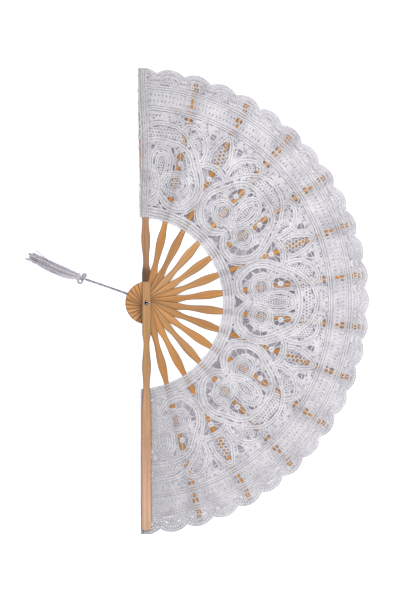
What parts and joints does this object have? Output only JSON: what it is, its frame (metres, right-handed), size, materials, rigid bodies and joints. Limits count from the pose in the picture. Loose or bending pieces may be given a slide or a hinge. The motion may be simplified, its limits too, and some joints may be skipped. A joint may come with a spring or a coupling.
{
  "type": "folding hand fan",
  "caption": "Folding hand fan opened flat: flat bamboo sticks turning on one rivet, a scalloped tape-lace leaf and a thread tassel on a cord.",
  "frame": {"origin": "middle of the rivet cap's rear face, on the rivet axis", "axes": "+Z along the rivet towards the face of the leaf; +X along the middle of the open fan; +Y towards the back guard"},
  "size_m": [0.3196, 0.4322, 0.0216],
  "materials": {
    "guard_bamboo": "smooth natural bamboo, satin",
    "rib_bamboo": "smooth natural bamboo, satin",
    "tape_lace": "cotton tape lace with worked fillings",
    "tassel_thread": "soft cotton thread",
    "rivet_metal": "blackened, polished dome"
  },
  "bodies": {
    "back_guard_body": {"back_guard": "guard_bamboo", "rivet_pin": "rivet_metal", "rivet_cap": "rivet_metal", "cord_eye": "tassel_thread", "tassel_cord": "tassel_thread", "tassel_knot": "tassel_thread", "tassel_skirt": "tassel_thread", "gore_01_glued": "tape_lace", "gore_01_fold": "tape_lace"},
    "rib_01_body": {"rib_01": "rib_bamboo", "gore_02_glued": "tape_lace", "gore_02_fold": "tape_lace"},
    "rib_02_body": {"rib_02": "rib_bamboo", "gore_03_glued": "tape_lace", "gore_03_fold": "tape_lace"},
    "rib_03_body": {"rib_03": "rib_bamboo", "gore_04_glued": "tape_lace", "gore_04_fold": "tape_lace"},
    "rib_04_body": {"rib_04": "rib_bamboo", "gore_05_glued": "tape_lace", "gore_05_fold": "tape_lace"},
    "rib_05_body": {"rib_05": "rib_bamboo", "gore_06_glued": "tape_lace", "gore_06_fold": "tape_lace"},
    "rib_06_body": {"rib_06": "rib_bamboo", "gore_07_glued": "tape_lace", "gore_07_fold": "tape_lace"},
    "rib_07_body": {"rib_07": "rib_bamboo", "gore_08_glued": "tape_lace", "gore_08_fold": "tape_lace"},
    "rib_08_body": {"rib_08": "rib_bamboo", "gore_09_glued": "tape_lace", "gore_09_fold": "tape_lace"},
    "rib_09_body": {"rib_09": "rib_bamboo", "gore_10_glued": "tape_lace", "gore_10_fold": "tape_lace"},
    "rib_10_body": {"rib_10": "rib_bamboo", "gore_11_glued": "tape_lace", "gore_11_fold": "tape_lace"},
    "rib_11_body": {"rib_11": "rib_bamboo", "gore_12_glued": "tape_lace", "gore_12_fold": "tape_lace"},
    "rib_12_body": {"rib_12": "rib_bamboo", "gore_13_glued": "tape_lace", "gore_13_fold": "tape_lace"},
    "front_guard_body": {"front_guard": "guard_bamboo", "leaf_end_hem": "tape_lace"}
  },
  "joints": [
    {"name": "fan_fold", "type": "hinge", "parent": "back_guard_body", "child": "rib_01_body", "pos_m": [0, 0, 0], "axis": [0, 0, 1], "range_deg": [0, 13.92], "deforming": ["gore_01_fold"]},
    {"name": "fan_fold_02", "type": "hinge", "parent": "rib_01_body", "child": "rib_02_body", "pos_m": [0, 0, 0], "axis": [0, 0, 1], "range_deg": [0, 13.92], "deforming": ["gore_02_fold"]},
    {"name": "fan_fold_03", "type": "hinge", "parent": "rib_02_body", "child": "rib_03_body", "pos_m": [0, 0, 0], "axis": [0, 0, 1], "range_deg": [0, 13.92], "deforming": ["gore_03_fold"]},
    {"name": "fan_fold_04", "type": "hinge", "parent": "rib_03_body", "child": "rib_04_body", "pos_m": [0, 0, 0], "axis": [0, 0, 1], "range_deg": [0, 13.92], "deforming": ["gore_04_fold"]},
    {"name": "fan_fold_05", "type": "hinge", "parent": "rib_04_body", "child": "rib_05_body", "pos_m": [0, 0, 0], "axis": [0, 0, 1], "range_deg": [0, 13.92], "deforming": ["gore_05_fold"]},
    {"name": "fan_fold_06", "type": "hinge", "parent": "rib_05_body", "child": "rib_06_body", "pos_m": [0, 0, 0], "axis": [0, 0, 1], "range_deg": [0, 13.92], "deforming": ["gore_06_fold"]},
    {"name": "fan_fold_07", "type": "hinge", "parent": "rib_06_body", "child": "rib_07_body", "pos_m": [0, 0, 0], "axis": [0, 0, 1], "range_deg": [0, 13.92], "deforming": ["gore_07_fold"]},
    {"name": "fan_fold_08", "type": "hinge", "parent": "rib_07_body", "child": "rib_08_body", "pos_m": [0, 0, 0], "axis": [0, 0, 1], "range_deg": [0, 13.92], "deforming": ["gore_08_fold"]},
    {"name": "fan_fold_09", "type": "hinge", "parent": "rib_08_body", "child": "rib_09_body", "pos_m": [0, 0, 0], "axis": [0, 0, 1], "range_deg": [0, 13.92], "deforming": ["gore_09_fold"]},
    {"name": "fan_fold_10", "type": "hinge", "parent": "rib_09_body", "child": "rib_10_body", "pos_m": [0, 0, 0], "axis": [0, 0, 1], "range_deg": [0, 13.92], "deforming": ["gore_10_fold"]},
    {"name": "fan_fold_11", "type": "hinge", "parent": "rib_10_body", "child": "rib_11_body", "pos_m": [0, 0, 0], "axis": [0, 0, 1], "range_deg": [0, 13.92], "deforming": ["gore_11_fold"]},
    {"name": "fan_fold_12", "type": "hinge", "parent": "rib_11_body", "child": "rib_12_body", "pos_m": [0, 0, 0], "axis": [0, 0, 1], "range_deg": [0, 13.92], "deforming": ["gore_12_fold"]},
    {"name": "fan_fold_13", "type": "hinge", "parent": "rib_12_body", "child": "front_guard_body", "pos_m": [0, 0, 0], "axis": [0, 0, 1], "range_deg": [0, 13.92], "deforming": ["gore_13_fold"]}
  ],
  "couplings": [
    {"joint": "fan_fold_02", "follows": "fan_fold", "ratio": 1},
    {"joint": "fan_fold_03", "follows": "fan_fold", "ratio": 1},
    {"joint": "fan_fold_04", "follows": "fan_fold", "ratio": 1},
    {"joint": "fan_fold_05", "follows": "fan_fold", "ratio": 1},
    {"joint": "fan_fold_06", "follows": "fan_fold", "ratio": 1},
    {"joint": "fan_fold_07", "follows": "fan_fold", "ratio": 1},
    {"joint": "fan_fold_08", "follows": "fan_fold", "ratio": 1},
    {"joint": "fan_fold_09", "follows": "fan_fold", "ratio": 1},
    {"joint": "fan_fold_10", "follows": "fan_fold", "ratio": 1},
    {"joint": "fan_fold_11", "follows": "fan_fold", "ratio": 1},
    {"joint": "fan_fold_12", "follows": "fan_fold", "ratio": 1},
    {"joint": "fan_fold_13", "follows": "fan_fold", "ratio": 1}
  ]
}
